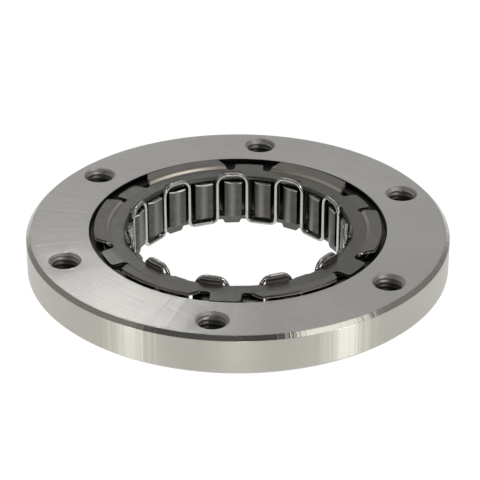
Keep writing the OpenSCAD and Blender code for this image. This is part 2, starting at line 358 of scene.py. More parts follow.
def ring_body():
    """The turned body, with the holes left open in its two flat faces."""
    steps = 4
    outline = rounded([
        (RACE_R + EDGE_BREAK, 0), (COLLAR_R - EDGE_BREAK, 0), (COLLAR_R, EDGE_BREAK),
        (COLLAR_R, COLLAR_H, COLLAR_FILLET), (RIM_R - FOOT_BEVEL, COLLAR_H),
        (RIM_R, COLLAR_H + FOOT_BEVEL), (RIM_R, FACE_H - RIM_BEVEL), (RIM_R - RIM_BEVEL, FACE_H),
        (RECESS_R + EDGE_BREAK / 2, FACE_H, RECESS_MOUTH),
        (RECESS_R, FACE_H - EDGE_BREAK / 2, RECESS_MOUTH), (RECESS_R, RECESS_H, RECESS_FILLET),
        (RACE_R + EDGE_BREAK, RECESS_H, RACE_MOUTH[0]),
        (RACE_R, RECESS_H - EDGE_BREAK, RACE_MOUTH[1]), (RACE_R, EDGE_BREAK),
    ], EDGE_ROUND, steps)
    # The flat faces start at the last points of the outline's corners 3 and 7
    flats = [corner * (steps + 1) + steps for corner in (3, 7)]
    points, faces = lathe(outline, flats)
    for flat in flats:
        inner, outer = sorted(outline[i].x for i in (flat, flat + 1))
        loops = [circle_points(TURNS, inner), circle_points(TURNS, outer)]
        loops += [
            circle_points(HOLE_TURNS, SINK_R, centre, angle)
            for centre, angle in zip(bolt_centres, bolt_angles)
        ]

        def is_steel(p):
            nearest = min((p - centre).length for centre in bolt_centres)
            return inner < p.length < outer and nearest > SINK_R * HOLE_SHARE

        filling, triangles = flat_filling(loops, is_steel)
        base = len(points)
        points += [Vector((*p, outline[flat].y)) for p in filling]
        faces += [tuple(base + v for v in face) for face in triangles]
    return mesh_of("ring_body", points, faces)


def threaded_sleeve():
    """The wall of one hole: a countersink at each end and the tapped thread between them."""
    points = []
    for row in range(HOLE_ROWS + 1):
        depth = (FACE_H - COLLAR_H) * row / HOLE_ROWS
        sink = SINK_R - min(depth, FACE_H - COLLAR_H - depth)
        for k in range(HOLE_TURNS):
            angle = 2 * math.pi * k / HOLE_TURNS
            turn = (depth / THREAD_PITCH + k / HOLE_TURNS) % 1
            groove = min(1, max(0, THREAD_FLANK * (1 - abs(2 * turn - 1)) - THREAD_CREST))
            radius = max(sink, THREAD_MINOR + (THREAD_MAJOR - THREAD_MINOR) * groove)
            points.append(polar(radius, angle, FACE_H - depth))
    return mesh_of("threaded_sleeve", points, band_faces(HOLE_ROWS, HOLE_TURNS))


def group_tree(name, sockets):
    """An empty Geometry Nodes tree with a mesh going in and out and the named inputs."""
    tree = bpy.data.node_groups.new(name, "GeometryNodeTree")
    tree.interface.new_socket("Geometry", in_out="INPUT", socket_type="NodeSocketGeometry")
    tree.interface.new_socket("Geometry", in_out="OUTPUT", socket_type="NodeSocketGeometry")
    for socket, kind in sockets.items():
        tree.interface.new_socket(socket, in_out="INPUT", socket_type=kind)
    return tree, add_node(tree, "NodeGroupInput")


def finish_tree(tree, geometry, material):
    """Ends a tree: real geometry with its material on it."""
    real = add_node(tree, "GeometryNodeRealizeInstances", links={"Geometry": geometry})
    coat = add_node(tree, "GeometryNodeSetMaterial", inputs={"Material": material}, links={
        "Geometry": real,
    })
    add_node(tree, "NodeGroupOutput", links={"Geometry": coat})


def round_the_axis(tree, entry, piece):
    """Nodes that repeat a piece round Z, by the tree's inputs Count and Phase."""
    step = add_node(tree, "ShaderNodeMath", {"operation": "DIVIDE"}, {0: 2 * math.pi}, {
        1: entry.outputs["Count"],
    })
    index = add_node(tree, "GeometryNodeInputIndex")
    angle = add_node(tree, "ShaderNodeMath", MULTIPLY_ADD, links={
        0: index, 1: step, 2: entry.outputs["Phase"],
    })
    turn = add_node(tree, "ShaderNodeCombineXYZ", links={"Z": angle})
    centres = add_node(tree, "GeometryNodePoints", links={"Count": entry.outputs["Count"]})
    return add_node(tree, "GeometryNodeInstanceOnPoints", links={
        "Points": centres, "Instance": piece, "Rotation": turn,
    })


def grown(name, base, tree, values):
    """The mesh that a tree makes from a base mesh, with the modifier evaluated and removed."""
    holder = bpy.data.objects.new(name, base)
    scene.collection.objects.link(holder)
    modifier = holder.modifiers.new(name, "NODES")
    modifier.node_group = tree
    for item in tree.interface.items_tree:
        if item.name in values:
            modifier[item.identifier] = values[item.name]
    depsgraph = bpy.context.evaluated_depsgraph_get()
    mesh = bpy.data.meshes.new_from_object(holder.evaluated_get(depsgraph), depsgraph=depsgraph)
    mesh.name = name
    bpy.data.objects.remove(holder)
    return mesh


def with_repeats(name, base, part, count, phase, circle, material):
    """A mesh joined with a part that stands again and again on a circle round the axis."""
    tree, entry = group_tree(name, {
        "Part": "NodeSocketObject", "Count": "NodeSocketInt", "Phase": "NodeSocketFloat",
        "Circle": "NodeSocketFloat",
    })
    info = add_node(tree, "GeometryNodeObjectInfo", links={0: entry.outputs["Part"]})
    outwards = add_node(tree, "ShaderNodeCombineXYZ", links={0: entry.outputs["Circle"]})
    placed = add_node(tree, "GeometryNodeTransform", links={
        "Geometry": info.outputs["Geometry"], "Translation": outwards,
    })
    repeats = round_the_axis(tree, entry, placed)
    join = add_node(tree, "GeometryNodeJoinGeometry", links={0: entry.outputs["Geometry"]})
    tree.links.new(repeats.outputs[0], join.inputs[0])
    finish_tree(tree, join, material)
    holder = bpy.data.objects.new(name + "_part", part)
    scene.collection.objects.link(holder)
    mesh = grown(name, base, tree, {
        "Part": holder, "Count": count, "Phase": phase, "Circle": circle,
    })
    bpy.data.objects.remove(holder)
    return mesh


def radial_coordinates(tree):
    """The place on the object, its parts X, Y and Z, and its distance from the axis."""
    place = add_node(tree, "ShaderNodeTexCoord").outputs["Object"]
    split = add_node(tree, "ShaderNodeSeparateXYZ", links={0: place})
    flat = add_node(tree, "ShaderNodeVectorMath", MULTIPLY, {1: (1, 1, 0)}, {0: place})
    radius = add_node(tree, "ShaderNodeVectorMath", {"operation": "LENGTH"}, links={0: flat})
    return place, split, radius.outputs["Value"]


# Mix colours: input 0 is the share of input 7, the rest is input 6, and output 2 is the colour
COLOURS = {"data_type": "RGBA"}
NUMBERS = {"data_type": "FLOAT"}
# The share of open air at which the painted shade hides the steel altogether
SHUT_AT = 0.06


def painted_shade_in_hollows(tree, colour, reach, shade_colour, open_at=0.5):
    """The colour, turning to a painted shade where other steel stands close over the surface."""
    shade = add_node(tree, "ShaderNodeAmbientOcclusion", {"samples": 8}, {"Distance": reach})
    openness = add_node(tree, "ShaderNodeMapRange", inputs={1: SHUT_AT, 2: open_at}, links={
        0: shade.outputs["AO"],
    })
    return add_node(tree, "ShaderNodeMix", COLOURS, {6: shade_colour}, {
        0: openness, 7: colour,
    }).outputs[2]


def height_band(tree, height, lower, upper, most=1, least=0):
    """A share that rises between two heights in mm, and falls from most to least between two."""
    rise = add_node(tree, "ShaderNodeMapRange", inputs={
        1: lower[0] * MM, 2: lower[1] * MM,
    }, links={0: height})
    fall = add_node(tree, "ShaderNodeMapRange", inputs={
        1: upper[0] * MM, 2: upper[1] * MM, 3: most, 4: least,
    }, links={0: height})
    return add_node(tree, "ShaderNodeMath", MULTIPLY, links={0: rise, 1: fall})


# Turned steel, ground: soft grey with circular tool marks that draw the light into radial fans.
# In Map Range, inputs 1 and 2 are the range read and 3 and 4 the range given, 0 to 1 if left out.
TOOL_MARK = 0.25 * MM
# Real grinding strokes are finer than a pixel, so these are drawn coarse enough to show
GRINDING_STROKE = 0.6 * MM
GRINDING_ANGLE = math.radians(-140)
STAIN = 14 * MM
# The length of the chatter's waves, in radians round the axis
CHATTER_TURN = 0.06
# The height at which the countersinks run out in the thread
SINK_FOOT = FACE_H - (SINK_R - THREAD_MINOR)
# The countersinks' light colour is a painted highlight, and the dark colours of the threads, the
# recess and raceway and the depths are painted shade.
RING_COLOURS = {
    "face": ("#b0aeaa", "#c8c6c2"), "side": "#bab7af", "stain": "#8a857c", "countersink": "#c2bfb9",
    "thread": "#1c1916", "raceway": "#3a3836", "hollow_shade": "#141210", "underside": "#a3a09b",
}


def turned_steel():
    material, tree = new_material("turned_steel")
    place, split, radius = radial_coordinates(tree)
    height = split.outputs["Z"]

    # Tool marks round the axis, and the hatch of the last grinding straight across the face
    drift = add_node(tree, "ShaderNodeMath", MULTIPLY, {1: 0.02}, {0: split.outputs["X"]})
    rings = add_node(tree, "ShaderNodeCombineXYZ", links={0: radius, 1: height, 2: drift})
    marks = add_node(tree, "ShaderNodeTexNoise", inputs={
        "Scale": 1 / TOOL_MARK, "Detail": 3, "Roughness": 0.6,
    }, links={"Vector": rings})
    turned = add_node(tree, "ShaderNodeVectorRotate", {"rotation_type": "Z_AXIS"}, {
        "Angle": GRINDING_ANGLE,
    }, {"Vector": place})
    strokes = add_node(tree, "ShaderNodeVectorMath", MULTIPLY, {1: (0.05, 1, 0)}, {0: turned})
    hatch = add_node(tree, "ShaderNodeTexNoise", inputs={
        "Scale": 1 / GRINDING_STROKE, "Detail": 4, "Roughness": 0.65,
    }, links={"Vector": strokes})
    on_face = add_node(tree, "ShaderNodeMapRange", inputs={
        1: (FACE_H - 0.2) * MM, 2: (FACE_H - 0.05) * MM,
    }, links={0: height})
    ground = add_node(tree, "ShaderNodeMix", NUMBERS, {2: 0.5}, {0: on_face, 3: hatch})

    # The face is a little lighter than the side, with faint stains on both
    light = add_node(tree, "ShaderNodeMapRange", inputs={1: 0.25, 2: 0.75}, links={0: ground})
    ground_face = add_node(tree, "ShaderNodeMix", COLOURS, {
        6: RING_COLOURS["face"][0], 7: RING_COLOURS["face"][1],
    }, {0: light})
    colour = add_node(tree, "ShaderNodeMix", COLOURS, {6: RING_COLOURS["side"]}, {
        0: on_face, 7: ground_face.outputs[2],
    }).outputs[2]
    stains = add_node(tree, "ShaderNodeTexNoise", inputs={
        "Scale": 1 / STAIN, "Detail": 4, "Roughness": 0.6,
    }, links={"Vector": place})
    stained = add_node(tree, "ShaderNodeMapRange", inputs={1: 0.3, 2: 0.7, 4: 0.12}, links={
        0: stains,
    })

    # Countersinks are matt and get a lighter colour as a painted highlight, and painted shade
    # darkens the threads under them
    at_holes = add_node(tree, "ShaderNodeMath", {"operation": "COMPARE"}, {
        1: BOLT_CIRCLE_R * MM, 2: (SINK_R + 0.3) * MM,
    }, {0: radius})
    cone = height_band(
        tree, height, (SINK_FOOT - 0.05, SINK_FOOT + 0.1), (FACE_H - 0.06, FACE_H - 0.02)
    )
    countersink = add_node(tree, "ShaderNodeMath", MULTIPLY, links={0: at_holes, 1: cone})
    deep = add_node(tree, "ShaderNodeMapRange", inputs={
        1: SINK_FOOT * MM, 2: (FACE_H - 3.5) * MM, 4: 0.9,
    }, links={0: height})
    thread_shade = add_node(tree, "ShaderNodeMath", MULTIPLY, links={0: at_holes, 1: deep})
    for tone, share in (("stain", stained), ("countersink", countersink), ("thread", thread_shade)):
        colour = add_node(tree, "ShaderNodeMix", COLOURS, {7: RING_COLOURS[tone]}, {
            0: share, 6: colour,
        }).outputs[2]

    # Painted shade darkens the recess and the raceway, and the hollows where other steel stands
    # close; the underside of the collar is left bare of it
    outside = add_node(tree, "ShaderNodeMapRange", inputs={
        1: (RECESS_R + 0.15) * MM, 2: (RECESS_R + 0.3) * MM,
    }, links={0: radius})
    colour = add_node(tree, "ShaderNodeMix", COLOURS, {6: RING_COLOURS["raceway"]}, {
        0: outside, 7: colour,
    }).outputs[2]
    colour = painted_shade_in_hollows(tree, colour, 6 * MM, RING_COLOURS["hollow_shade"], 0.6)
    under = add_node(tree, "ShaderNodeMapRange", inputs={
        1: (EDGE_BREAK + 0.1) * MM, 2: EDGE_BREAK * MM,
    }, links={0: height})
    colour = add_node(tree, "ShaderNodeMix", COLOURS, {7: RING_COLOURS["underside"]}, {
        0: under, 6: colour,
    }).outputs[2]

    # The grain runs round the axis, and chatter of the lathe makes the fans ragged
    tangent = add_node(tree, "ShaderNodeVectorMath", {"operation": "CROSS_PRODUCT"}, {
        0: (0, 0, 1),
    }, {1: place})
    around = add_node(tree, "ShaderNodeVectorMath", {"operation": "NORMALIZE"}, links={
        0: tangent,
    })
    chatter = add_node(tree, "ShaderNodeTexNoise", inputs={
        "Scale": 1 / CHATTER_TURN, "Detail": 4, "Roughness": 0.65,
    }, links={"Vector": around})
    waves = add_node(tree, "ShaderNodeBump", inputs={
        "Strength": 1, "Distance": 0.12 * MM,
    }, links={"Height": chatter})
    bump = add_node(tree, "ShaderNodeBump", inputs={
        "Strength": 0.25, "Distance": 0.02 * MM,
    }, links={"Height": marks, "Normal": waves})

    # The rim's edge was turned last, and is the smoothest
    over_side = add_node(tree, "ShaderNodeMapRange", inputs={
        1: (FACE_H - RIM_BEVEL) * MM, 2: (FACE_H - RIM_BEVEL + 0.1) * MM,
    }, links={0: height})
    on_edge = add_node(tree, "ShaderNodeMath", {"operation": "SUBTRACT"}, links={
        0: over_side, 1: on_face,
    })
    ground_rough = add_node(tree, "ShaderNodeMapRange", inputs={
        1: 0.25, 2: 0.75, 3: 0.25, 4: 0.45,
    }, links={0: ground})
    edge_rough = add_node(tree, "ShaderNodeMix", NUMBERS, {3: 0.22}, {
        0: on_edge, 2: ground_rough,
    })
    roughness = add_node(tree, "ShaderNodeMix", NUMBERS, {3: 0.5}, {
        0: countersink, 2: edge_rough,
    })
    shader = add_node(tree, "ShaderNodeBsdfPrincipled", inputs={
        "Metallic": 1, "Anisotropic": 0.8, "Anisotropic Rotation": 0.25,
    }, links={
        "Base Color": colour, "Roughness": roughness, "Tangent": tangent, "Normal": bump,
    })
    add_node(tree, "ShaderNodeOutputMaterial", links={"Surface": shader})
    return material


def add_piece(name, mesh, material, body, node):
    """Puts a finished mesh in the scene on its CAD body, in the place of its CAD node."""
    if not mesh.materials:
        mesh.materials.append(material)
    piece = bpy.data.objects.new(name, mesh)
    scene.collection.objects.link(piece)
    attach(piece, body)
    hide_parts(node)


ring_steel = turned_steel()
ring_mesh = with_repeats(
    "outer_ring_steel", ring_body(), threaded_sleeve(), BOLTS, math.radians(BOLT_PHASE),
    BOLT_CIRCLE_R * MM, ring_steel,
)
soften(ring_mesh)
add_piece("outer_ring_steel", ring_mesh, ring_steel, "outer_ring", "outer_ring")


# Cage
# One piece of sheet steel, deep drawn, pierced and lanced in a press, then nitrided to a grey skin.
# It lies in the ring's recess on six feet, and its wall has one window for each sprag.
SHEET = 0.8
# Rounding of the sheet's cut edges
EDGE = 0.12
WALL_R = 30.345
DRAW_R = 1.0
FLANGE_H = 15.4
CREASE_R = 35.2
LIP_R = 39.1
LIP_RISE = 1.3
# The radius where the lips' steep part ends, and its height over the flange
LIP_BEND = (35.9, 0.845)
LIP_LEAN = math.radians(42)
LIP_CORNER = 1.0
FOOT_R = 38.8
FOOT_W = 8.3
FOOT_DROP = 0.2
FOOT_PHASE = 25
SLIT_R = 1.2
LIPS = 6
SPRAGS = 22
SPRAG_PHASE = 93.2
PITCH = 2 * math.pi / SPRAGS
WINDOW_W = 7.265
WINDOW_HIGH = 14.45
WINDOW_LOW = 3.05
BAND_LOW = 1.65
TONGUE_LOW = 0.45
TONGUE_ROOT = 5.5
TONGUE_TIP = 4.4
LUG_W = 6.2
LUG_LOW = 14.6
LUG_HIGH = 16.75
CORNER_STEPS = 8
PIERCED_STEPS = 5
SHARP = 0.01
TONGUE_ROOT_CORNER = 0.3
TONGUE_TIP_CORNER = 0.5
WINDOW_CORNER = 0.45
# How far the slits reach past the crease, towards the axis
SLIT_REACH = 0.35
# How far, in radians, the helper points beside a rounded corner stand from it
BESIDE = 0.05
# The flange's height is an average of samples at this step, which eases its bends
BEND_STEP = 0.07
BEND_SAMPLES = 9

BEND_TOP = WALL_R + DRAW_R
BEND_RUN = DRAW_R * math.pi / 2
SLIT_X = FOOT_W / 2 + SLIT_R
SLIT_Y = math.sqrt((CREASE_R - SLIT_REACH + SLIT_R) ** 2 - SLIT_X ** 2)
SECTOR = 2 * math.pi / LIPS


def on_wall(height):
    """The sheet coordinate of a height on the wall, counted like a radius across the bend."""
    return BEND_TOP - BEND_RUN - (FLANGE_H - DRAW_R) + height


def flange_height(radius, corners):
    """Height of the flange's upper side at a radius, with the bends between the corners eased."""
    total = 0
    for k in range(BEND_SAMPLES):
        r = radius + BEND_STEP * (k - BEND_SAMPLES // 2)
        for (r0, z0), (r1, z1) in zip(corners, corners[1:]):
            if r <= r1 or (r1, z1) == corners[-1]:
                total += z0 + (r - r0) / (r1 - r0) * (z1 - z0)
                break
    return total / BEND_SAMPLES


LIP_LINE = [(0, FLANGE_H), (CREASE_R, FLANGE_H), (LIP_BEND[0], FLANGE_H + LIP_BEND[1]),
            (LIP_R, FLANGE_H + LIP_RISE)]
FOOT_LINE = [(0, FLANGE_H), (CREASE_R, FLANGE_H), (FOOT_R, FLANGE_H - FOOT_DROP)]
FOOT_ZONE = math.atan2(SLIT_X, CREASE_R)


def cage_surface(angle, along):
    """Point and outward normal of the sheet's bore side, from its angle and sheet coordinate."""
    if along < BEND_TOP:
        run = BEND_TOP - along
        if run < BEND_RUN:
            turn = run / DRAW_R
            r, z = BEND_TOP - DRAW_R * math.sin(turn), FLANGE_H - DRAW_R * (1 - math.cos(turn))
            normal = (-math.sin(turn), math.cos(turn))
        else:
            r, z, normal = WALL_R, FLANGE_H - DRAW_R - (run - BEND_RUN), (-1, 0)
    else:
        off = (angle - math.radians(FOOT_PHASE) + SECTOR / 2) % SECTOR - SECTOR / 2
        line = FOOT_LINE if abs(off) < FOOT_ZONE else LIP_LINE
        r, z = along, flange_height(along, line)
        slope = (flange_height(along + 0.01, line) - flange_height(along - 0.01, line)) / 0.02
        normal = (-slope / math.hypot(slope, 1), 1 / math.hypot(slope, 1))
    return polar(r, angle, z), polar(normal[0], angle, normal[1])


def arc(centre, radius, start, end, steps):
    """Flat points on part of a circle, both ends included."""
    turns = [start + (end - start) * k / steps for k in range(steps + 1)]
    return [Vector(centre) + Vector((radius * math.cos(a), radius * math.sin(a))) for a in turns]


def flange_edge():
    """The blank's outer edge over one sixth of the turn, as (angle from the foot, radius)."""
    slit_r, lip_r = SLIT_R + EDGE, LIP_R - EDGE
    foot_w, foot_r = FOOT_W / 2 - EDGE, FOOT_R - EDGE
    one_corner = slice(CORNER_STEPS + 1, 2 * CORNER_STEPS + 2)
    root = Vector((SLIT_X, SLIT_Y))
    lean = Vector((math.sin(LIP_LEAN), math.cos(LIP_LEAN)))
    start = root + slit_r * Vector((math.cos(LIP_LEAN), -math.sin(LIP_LEAN)))
    reach = math.sqrt((start @ lean) ** 2 + lip_r ** 2 - start @ start) - start @ lean
    tip = start + reach * lean
    beyond = math.atan2(tip.x, tip.y) + BESIDE
    foot_tip = Vector((foot_w, math.sqrt(foot_r ** 2 - foot_w ** 2)))
    before = math.atan2(foot_tip.x, foot_tip.y) - BESIDE
    foot = rounded([
        (foot_r * math.sin(before), foot_r * math.cos(before)), (*foot_tip, LIP_CORNER - EDGE),
        (foot_w, SLIT_Y), (0, SLIT_Y),
    ], SHARP, CORNER_STEPS)[one_corner]
    lip = rounded([
        start, (*tip, LIP_CORNER - EDGE),
        (lip_r * math.sin(beyond), lip_r * math.cos(beyond)), (0, lip_r),
    ], SHARP, CORNER_STEPS)[one_corner]
    slit = arc(root, slit_r, math.pi, 2 * math.pi - LIP_LEAN, 20)
    half = [(math.atan2(p.x, p.y), p.length) for p in foot + slit + lip]
    foot_run = [(half[0][0] * k / 6, foot_r) for k in range(6)]
    last = half[-1][0]
    lip_run = [(last + (SECTOR / 2 - last) * k / 16, lip_r) for k in range(1, 16)]
    half = foot_run + half + lip_run
    return [(-a, r) for a, r in reversed(half[1:])] + half


def periodic(points, seam):
    """Points by rising angle, turned so that they start just after the seam."""
    wrapped = [((a - seam) % (2 * math.pi) + seam, t) for a, t in points]
    first = min(range(len(wrapped)), key=lambda k: wrapped[k][0])
    return wrapped[first:] + wrapped[:first]


def pressed_sheet(loops, lines, surface, thickness, scale):
    """A closed solid from flat loops: both faces of the sheet, and a rounded rim at each edge."""
    # Triangles between all loops and lines. One is in the sheet if a level line from its centre
    # crosses the loops an odd number of times.
    points, edges = [], []
    for chain, closed in [(c, True) for c in loops] + [(c, False) for c in lines]:
        start, count = len(points), len(chain)
        points += [Vector((a * scale, t)) for a, t in chain]
        links = count if closed else count - 1
        edges += [(start + k, start + (k + 1) % count) for k in range(links)]
    points, _, triangles, *_ = delaunay_2d_cdt(points, edges, [], 0, 1e-5)
    borders = np.array([
        (a * scale, t, c * scale, u)
        for chain in loops for (a, t), (c, u) in zip(chain, chain[1:] + chain[:1])
    ])
    centres = np.array([sum((points[v] for v in f), Vector((0, 0))) / 3 for f in triangles])
    inside = np.zeros(len(centres), bool)
    for x0, y0, x1, y1 in borders:
        if y0 != y1:
            spans = (centres[:, 1] > min(y0, y1)) & (centres[:, 1] <= max(y0, y1))
            cross = x0 + (centres[:, 1] - y0) / (y1 - y0) * (x1 - x0)
            inside ^= spans & (cross > centres[:, 0])
    # Points of the first face in space; those on both sides of the seam become one
    places, index, merged = [], {}, []
    for p in points:
        place, normal = surface(p.x / scale, p.y)
        key = tuple(round(c, 3) for c in place)
        if key not in index:
            index[key] = len(places)
            places.append((place, normal))
        merged.append(index[key])
    kept = [tuple(merged[v] for v in f) for f, good in zip(triangles, inside) if good]
    kept = [f for f in kept if len(set(f)) == 3]
    sides = {(f[k], f[(k + 1) % 3]) for f in kept for k in range(3)}
    after = {a: b for a, b in sides if (b, a) not in sides}
    count = len(places)
    solid = [place for place, _ in places]
    solid += [place - thickness * normal for place, normal in places]
    faces = kept + [(c + count, b + count, a + count) for a, b, c in kept]
    # The rim goes round each edge from the first face to the second
    rim = (math.pi / 6, math.pi / 3, math.pi / 2)
    rows = [(math.sin(a), EDGE * (1 - math.cos(a))) for a in rim]
    rows += [(out, thickness - depth) for out, depth in reversed(rows)]
    back = {b: a for a, b in after.items()}
    strip = {}
    for v in after:
        place, normal = places[v]
        along = places[after[v]][0] - places[back[v]][0]
        outwards = along.cross(normal).normalized()
        strip[v] = [v] + list(range(len(solid), len(solid) + len(rows))) + [v + count]
        solid += [place + EDGE * out * outwards - depth * normal for out, depth in rows]
    for a, b in after.items():
        for k in range(len(rows) + 1):
            faces.append((strip[b][k], strip[a][k], strip[a][k + 1], strip[b][k + 1]))
    return solid, faces


def cage_sheet():
    """The whole sheet, unrolled: the flange's edge on top, the tongues below, and the windows."""
    seam = math.radians(SPRAG_PHASE) + PITCH / 2
    window_angles = [seam + PITCH / 2 + k * PITCH for k in range(SPRAGS)]
    foot_angles = [math.radians(FOOT_PHASE) + k * SECTOR for k in range(LIPS)]
    top = periodic([(foot + a, r) for foot in foot_angles for a, r in flange_edge()], seam)
    low, high = on_wall(BAND_LOW + EDGE), LIP_R - EDGE
    tongue_low = on_wall(TONGUE_LOW + EDGE)
    root, tip = TONGUE_ROOT / 2 - EDGE, TONGUE_TIP / 2 - EDGE
    tongue = rounded([
        (-root, low, TONGUE_ROOT_CORNER), (-tip, tongue_low, TONGUE_TIP_CORNER),
        (tip, tongue_low, TONGUE_TIP_CORNER), (root, low, TONGUE_ROOT_CORNER),
        (TONGUE_ROOT, low), (0, on_wall(WINDOW_LOW)), (-TONGUE_ROOT, low),
    ], SHARP, PIERCED_STEPS)[:4 * (PIERCED_STEPS + 1)]
    bottom = [(angle + x / WALL_R, t) for angle in window_angles for x, t in tongue]
    end = seam + 2 * math.pi
    outline = [(seam, low)] + bottom + [(end, low), (end, high)] + top[::-1] + [(seam, high)]
    half = WINDOW_W / 2 + EDGE
    sill, head = on_wall(WINDOW_LOW) - EDGE, on_wall(WINDOW_HIGH) + EDGE
    corners = [(-half, sill), (half, sill), (half, head), (-half, head)]
    window = rounded(corners, WINDOW_CORNER, PIERCED_STEPS)
    loops = [outline] + [[(angle + x / WALL_R, t) for x, t in window] for angle in window_angles]
    # Rows of points across the sheet: on the wall, round the bend, at the crease and on the lips
    rows = [on_wall(z) for z in (1.2, 2.4, 5, 8, 11, 13.6)]
    rows += [BEND_TOP - BEND_RUN * k / 8 for k in range(9)]
    rows += [32.6, 33.8] + [34.55 + 0.13 * k for k in range(20)] + [37.6, 38.3]
    lines = [[(seam + 2 * math.pi * k / TURNS, t) for k in range(TURNS + 1)] for t in rows]
    return mesh_of("cage_sheet", *pressed_sheet(loops, lines, cage_surface, SHEET, WALL_R))


def lug():
    """A small tab of sheet that stands behind one arch of the spring."""
    face = WALL_R + 0.02
    half = LUG_W / 2
    outline = rounded([
        (-half, LUG_LOW, 0.2), (half, LUG_LOW, 0.2), (half, LUG_HIGH), (-half, LUG_HIGH),
    ], 1.0, 6)
    loop = [(x / face, z) for x, z in outline]
    rows = (LUG_LOW, 15.5, LUG_HIGH)
    lines = [[(x / face, z) for z in rows] for x in (-1.5, -0.75, 0, 0.75, 1.5)]

    def bore_side(angle, z):
        return polar(face, angle, z), polar(-1, angle)

    return mesh_of("lug", *pressed_sheet([loop], lines, bore_side, SHEET - 0.04, face))


def two_tones(tree, pattern, tones, polish):
    """A colour between two tones and a roughness between two grades, shared out by a pattern."""
    share = add_node(tree, "ShaderNodeMapRange", inputs={1: 0.35, 2: 0.65}, links={0: pattern})
    colour = add_node(tree, "ShaderNodeMix", COLOURS, {6: tones[0], 7: tones[1]}, {0: share})
    roughness = add_node(tree, "ShaderNodeMapRange", inputs={
        1: 0.3, 2: 0.7, 3: polish[0], 4: polish[1],
    }, links={0: pattern})
    return colour.outputs[2], roughness


# Nitrided sheet: dark warm grey, satin, with a faint mottle from the press and the salt bath
MOTTLE = 3 * MM
# Coarser than real rolled sheet, whose grain is too fine to show
SHEET_GRAIN = 0.3 * MM
# The lips' and feet's light colours are painted highlights, and the depths' colour is painted shade
SHEET_COLOURS = {
    "skin": ("#5d5c59", "#696864"), "lip_highlight": "#d8cec1", "foot_highlight": "#7b7872",
    "hollow_shade": "#171615",
}


def nitrided_sheet():
    material, tree = new_material("nitrided_sheet")
    place, split, radius = radial_coordinates(tree)
    height = split.outputs["Z"]
    mottle = add_node(tree, "ShaderNodeTexNoise", inputs={
        "Scale": 1 / MOTTLE, "Detail": 5, "Roughness": 0.65,
    }, links={"Vector": place})
    colour, roughness = two_tones(tree, mottle, SHEET_COLOURS["skin"], (0.3, 0.4))

    # A painted highlight lightens a band just over the flange, on the steep part of the lips, and a
    # fainter one the feet
    lip_highlight = height_band(
        tree, height, (FLANGE_H + 0.02, FLANGE_H + 0.16), (FLANGE_H + 0.62, FLANGE_H + 0.88),
        0.9, 0.05,
    )
    beyond_crease = add_node(tree, "ShaderNodeMapRange", inputs={
        1: (CREASE_R + 0.1) * MM, 2: (CREASE_R + 0.25) * MM,
    }, links={0: radius})
    below_flange = add_node(tree, "ShaderNodeMapRange", inputs={
        1: FLANGE_H * MM, 2: (FLANGE_H - 0.02) * MM, 4: 0.2,
    }, links={0: height})
    foot_highlight = add_node(tree, "ShaderNodeMath", MULTIPLY, links={0: beyond_crease, 1: below_flange})
    for tone, share in (("lip_highlight", lip_highlight), ("foot_highlight", foot_highlight)):
        colour = add_node(tree, "ShaderNodeMix", COLOURS, {7: SHEET_COLOURS[tone]}, {
            0: share, 6: colour,
        }).outputs[2]
    # Painted shade where other steel stands close
    colour = painted_shade_in_hollows(tree, colour, 3 * MM, SHEET_COLOURS["hollow_shade"])

    grain = add_node(tree, "ShaderNodeTexNoise", inputs={
        "Scale": 1 / SHEET_GRAIN, "Detail": 2, "Roughness": 0.6,
    }, links={"Vector": place})
    bump = add_node(tree, "ShaderNodeBump", inputs={
        "Strength": 0.2, "Distance": 0.02 * MM,
    }, links={"Height": grain})
    shader = add_node(tree, "ShaderNodeBsdfPrincipled", inputs={"Metallic": 1}, links={
        "Base Color": colour, "Roughness": roughness, "Normal": bump,
    })
    add_node(tree, "ShaderNodeOutputMaterial", links={"Surface": shader})
    return material


cage_steel = nitrided_sheet()
cage_mesh = with_repeats(
    "cage_sheet", cage_sheet(), lug(), SPRAGS // 2, math.radians(SPRAG_PHASE), 0.0, cage_steel
)
soften(cage_mesh)
add_piece("cage_sheet", cage_mesh, cage_steel, "cage", "cage")


# Energizing spring
# One length of round spring wire, bent to an endless zigzag and welded. Every second sprag stands
# in an arch and the others over a loop, so the wire's legs push all the sprags the same way.
WIRE_R = 0.55
LEG_R = 29.695
ARCH_H = 16.6
LOOP_H = 1.55
ARCH_BEND = 3.0
LOOP_BEND = 1.7
LEG_HEIGHTS = (11, 8.5, 6)
WIRE_SIDES = 20


def spring_turn():
    """The wire's line over one arch and down into the two loops beside it, as joined points."""
    half, plane = LEG_R * math.sin(PITCH / 2), LEG_R * math.cos(PITCH / 2)
    arch = arc((half - ARCH_BEND, ARCH_H - ARCH_BEND), ARCH_BEND, math.pi / 2, 0, 12)
    loop = arc((half - LOOP_BEND, LOOP_H + LOOP_BEND), LOOP_BEND, 0, -math.pi / 2, 10)
    leg = [(half, z) for z in LEG_HEIGHTS]
    # The loop lies in the plane of the next sprag, one pitch on, and ends at its middle
    next_sprag = Matrix.Rotation(-PITCH, 3, "Z")
    right = [Vector((plane, -x, z)) for x, z in arch + leg]
    right += [next_sprag @ Vector((plane, x, z)) for x, z in loop]
    right.append(next_sprag @ Vector((plane, 0, LOOP_H)))
    left = [Vector((p.x, -p.y, p.z)) for p in reversed(right)]
    points = [MM * p for p in left + right]
    mesh = bpy.data.meshes.new("spring_turn")
    mesh.from_pydata(points, [(k, k + 1) for k in range(len(points) - 1)], [])
    return mesh


# Bright drawn wire: polished spring steel with faint scuffs
WIRE_SCUFF = 0.8 * MM
WIRE_COLOURS = ("#aeaca8", "#c4c2bd")


